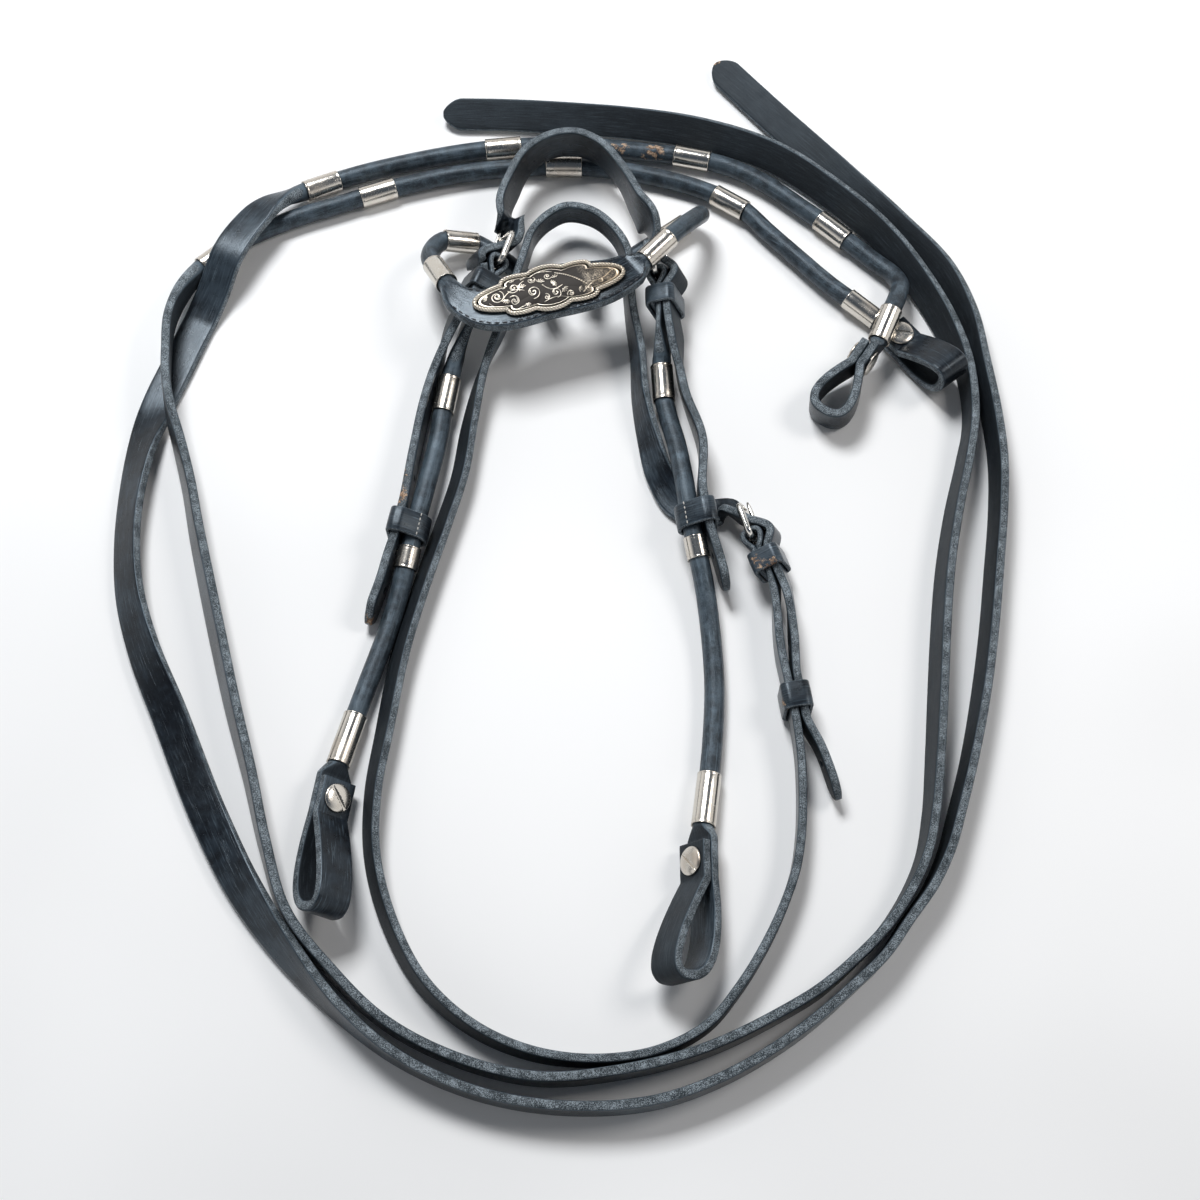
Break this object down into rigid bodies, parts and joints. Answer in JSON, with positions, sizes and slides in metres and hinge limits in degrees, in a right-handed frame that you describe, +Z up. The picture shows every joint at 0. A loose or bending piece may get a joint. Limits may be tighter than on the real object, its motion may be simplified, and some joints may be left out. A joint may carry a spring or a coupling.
{
  "type": "bridle headstall",
  "caption": "Rolled leather western headstall with engraved browband plate, throatlatch, bit loops and a pair of split reins laid round it.",
  "frame": {"origin": "below the middle of the whole layout, on the surface it lies on", "axes": "+Z up from the surface, +Y from the bit loops towards the poll, +X to the right in the picture"},
  "size_m": [0.4116, 0.5314, 0.0408],
  "materials": {
    "browband": "black oiled leather, grey cut edges",
    "browband_ferrule_left_lower": "nickel-plated tube with two fine beads",
    "browband_ferrule_left_upper": "nickel-plated tube with two fine beads",
    "browband_ferrule_right_lower": "nickel-plated tube with two fine beads",
    "browband_ferrule_right_upper": "nickel-plated tube with two fine beads",
    "browband_plate": "engraved silver, darkened in the recesses",
    "cheek_left_buckle": "polished wire",
    "cheek_left_buckle_keeper": "black leather, brown where worn",
    "cheek_left_buckle_tongue": "polished wire",
    "cheek_left_ferrule_bottom": "nickel-plated tube with two fine beads",
    "cheek_left_ferrule_middle": "nickel-plated tube with two fine beads",
    "cheek_left_ferrule_top": "nickel-plated tube with two fine beads",
    "cheek_left_keeper": "black leather, brown where worn",
    "cheek_left_screw": "nickel-plated, polished",
    "cheek_left_screw_post": "nickel-plated, polished",
    "cheek_right_buckle": "polished wire",
    "cheek_right_buckle_keeper": "black leather, brown where worn",
    "cheek_right_buckle_tongue": "polished wire",
    "cheek_right_ferrule_bottom": "nickel-plated tube with two fine beads",
    "cheek_right_ferrule_middle": "nickel-plated tube with two fine beads",
    "cheek_right_ferrule_top": "nickel-plated tube with two fine beads",
    "cheek_right_keeper": "black leather, brown where worn",
    "cheek_right_screw": "nickel-plated, polished",
    "cheek_right_screw_post": "nickel-plated, polished",
    "cheekpiece_left": "black oiled leather, grey cut edges",
    "cheekpiece_right": "black oiled leather, grey cut edges",
    "crown_strap": "black oiled leather, grey cut edges",
    "plate_rope_edge": "engraved silver, darkened in the recesses",
    "plate_screw_left": "plain steel",
    "plate_screw_right": "plain steel",
    "rein_inner": "black oiled leather, grey cut edges",
    "rein_inner_ferrule_1": "nickel-plated tube with two fine beads",
    "rein_inner_ferrule_2": "nickel-plated tube with two fine beads",
    "rein_inner_ferrule_3": "nickel-plated tube with two fine beads",
    "rein_inner_ferrule_4": "nickel-plated tube with two fine beads",
    "rein_inner_ferrule_5": "nickel-plated tube with two fine beads",
    "rein_inner_screw": "nickel-plated, polished",
    "rein_inner_screw_post": "nickel-plated, polished",
    "rein_outer": "black oiled leather, grey cut edges",
    "rein_outer_ferrule_1": "nickel-plated tube with two fine beads",
    "rein_outer_ferrule_2": "nickel-plated tube with two fine beads",
    "rein_outer_ferrule_3": "nickel-plated tube with two fine beads",
    "rein_outer_ferrule_4": "nickel-plated tube with two fine beads",
    "rein_outer_ferrule_5": "nickel-plated tube with two fine beads",
    "rein_outer_screw": "nickel-plated, polished",
    "rein_outer_screw_post": "nickel-plated, polished",
    "throatlatch_buckle": "polished wire",
    "throatlatch_buckle_tongue": "polished wire",
    "throatlatch_keeper_lower": "black leather, brown where worn",
    "throatlatch_keeper_upper": "black leather, brown where worn",
    "throatlatch_strap": "black oiled leather, grey cut edges"
  },
  "bodies": {
    "reins": {"rein_inner": "rein_inner", "rein_inner_ferrule_1": "rein_inner_ferrule_1", "rein_inner_ferrule_2": "rein_inner_ferrule_2", "rein_inner_ferrule_3": "rein_inner_ferrule_3", "rein_inner_ferrule_4": "rein_inner_ferrule_4", "rein_inner_ferrule_5": "rein_inner_ferrule_5", "rein_inner_screw_post": "rein_inner_screw_post", "rein_outer": "rein_outer", "rein_outer_ferrule_1": "rein_outer_ferrule_1", "rein_outer_ferrule_2": "rein_outer_ferrule_2", "rein_outer_ferrule_3": "rein_outer_ferrule_3", "rein_outer_ferrule_4": "rein_outer_ferrule_4", "rein_outer_ferrule_5": "rein_outer_ferrule_5", "rein_outer_screw_post": "rein_outer_screw_post"},
    "headstall": {"browband": "browband", "browband_ferrule_left_lower": "browband_ferrule_left_lower", "browband_ferrule_left_upper": "browband_ferrule_left_upper", "browband_ferrule_right_lower": "browband_ferrule_right_lower", "browband_ferrule_right_upper": "browband_ferrule_right_upper", "browband_plate": "browband_plate", "cheek_left_buckle": "cheek_left_buckle", "cheek_left_buckle_keeper": "cheek_left_buckle_keeper", "cheek_left_ferrule_bottom": "cheek_left_ferrule_bottom", "cheek_left_ferrule_middle": "cheek_left_ferrule_middle", "cheek_left_ferrule_top": "cheek_left_ferrule_top", "cheek_left_screw_post": "cheek_left_screw_post", "cheek_right_buckle": "cheek_right_buckle", "cheek_right_buckle_keeper": "cheek_right_buckle_keeper", "cheek_right_ferrule_bottom": "cheek_right_ferrule_bottom", "cheek_right_ferrule_middle": "cheek_right_ferrule_middle", "cheek_right_ferrule_top": "cheek_right_ferrule_top", "cheek_right_screw_post": "cheek_right_screw_post", "cheekpiece_left": "cheekpiece_left", "cheekpiece_right": "cheekpiece_right", "crown_strap": "crown_strap", "plate_rope_edge": "plate_rope_edge", "plate_screw_left": "plate_screw_left", "plate_screw_right": "plate_screw_right", "throatlatch_buckle": "throatlatch_buckle", "throatlatch_keeper_upper": "throatlatch_keeper_upper", "throatlatch_strap": "throatlatch_strap"},
    "tongue_left": {"cheek_left_buckle_tongue": "cheek_left_buckle_tongue"},
    "tongue_right": {"cheek_right_buckle_tongue": "cheek_right_buckle_tongue"},
    "tongue_throatlatch": {"throatlatch_buckle_tongue": "throatlatch_buckle_tongue"},
    "screw_cheek_left": {"cheek_left_screw": "cheek_left_screw"},
    "screw_cheek_right": {"cheek_right_screw": "cheek_right_screw"},
    "screw_rein_outer": {"rein_outer_screw": "rein_outer_screw"},
    "screw_rein_inner": {"rein_inner_screw": "rein_inner_screw"},
    "keeper_left": {"cheek_left_keeper": "cheek_left_keeper"},
    "keeper_right": {"cheek_right_keeper": "cheek_right_keeper"},
    "keeper_throatlatch": {"throatlatch_keeper_lower": "throatlatch_keeper_lower"}
  },
  "joints": [
    {"name": "headstall_lift", "type": "slide", "parent": "reins", "child": "headstall", "axis": [0, 0, 1], "range_m": [0, 0.12]},
    {"name": "tongue_left_hinge", "type": "hinge", "parent": "headstall", "child": "tongue_left", "pos_m": [-0.03464, 0.12875, 0.01978], "axis": [0.4767, -0.1505, 0.8661], "range_deg": [-0.6, 1.8]},
    {"name": "tongue_right_hinge", "type": "hinge", "parent": "headstall", "child": "tongue_right", "pos_m": [0.0468, 0.12306, 0.01736], "axis": [0.3744, -0.0075, -0.9272], "range_deg": [-0.6, 1.8]},
    {"name": "tongue_throatlatch_hinge", "type": "hinge", "parent": "headstall", "child": "tongue_throatlatch", "pos_m": [0.08787, -0.01268, 0.01116], "axis": [0.3535, 0.1116, -0.9287], "range_deg": [-0.6, 1.8]},
    {"name": "screw_cheek_left_turn", "type": "hinge", "parent": "headstall", "child": "screw_cheek_left", "pos_m": [-0.09349, -0.13575, 0.0139], "axis": [-0.6357, 0.1017, -0.7652], "continuous": true},
    {"name": "screw_cheek_right_turn", "type": "hinge", "parent": "headstall", "child": "screw_cheek_right", "pos_m": [0.05413, -0.16301, 0.01322], "axis": [0.7798, 0, -0.6261], "continuous": true},
    {"name": "screw_rein_outer_turn", "type": "hinge", "parent": "reins", "child": "screw_rein_outer", "pos_m": [0.13629, 0.08511, 0.01356], "axis": [0.8305, -0.557, 0], "continuous": true},
    {"name": "screw_rein_inner_turn", "type": "hinge", "parent": "reins", "child": "screw_rein_inner", "pos_m": [0.1612, 0.09738, 0.0128], "axis": [0, 0, -1], "continuous": true},
    {"name": "keeper_left_slide", "type": "slide", "parent": "headstall", "child": "keeper_left", "axis": [0.1915, 0.981, 0.0315], "range_m": [0, 0.0028]},
    {"name": "keeper_right_slide", "type": "slide", "parent": "headstall", "child": "keeper_right", "axis": [-0.1516, 0.9876, 0.0402], "range_m": [0, 0.0028]},
    {"name": "keeper_throatlatch_slide", "type": "slide", "parent": "headstall", "child": "keeper_throatlatch", "axis": [0.1498, -0.9886, 0.0173], "range_m": [-0.0028, 0.0028]}
  ]
}
